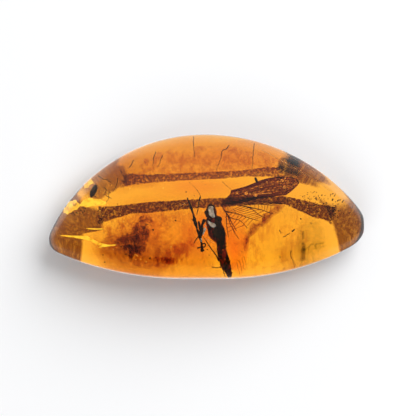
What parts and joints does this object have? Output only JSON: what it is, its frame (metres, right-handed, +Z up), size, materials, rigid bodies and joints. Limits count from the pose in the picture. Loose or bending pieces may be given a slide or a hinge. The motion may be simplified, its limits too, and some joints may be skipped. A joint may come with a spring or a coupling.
{
  "type": "insect in amber",
  "caption": "Polished half-moon piece of honey amber with a winged insect sealed inside, lying on its flat back.",
  "frame": {"origin": "on the surface that the flat back lies on, below the middle of the box round the piece", "axes": "+X along the piece towards its blunter tip, +Y across it towards the arched edge, +Z up through the domed front"},
  "size_m": [0.045, 0.0208, 0.011],
  "materials": {
    "amber": "hand polished, clear honey",
    "insect": "dark carbonised cuticle",
    "wing": "brown veined membrane",
    "film": "silvery film and flaky cracks",
    "dust": "brown crust, stain and debris"
  },
  "bodies": {
    "root": {"amber": "amber"}
  },
  "joints": []
}
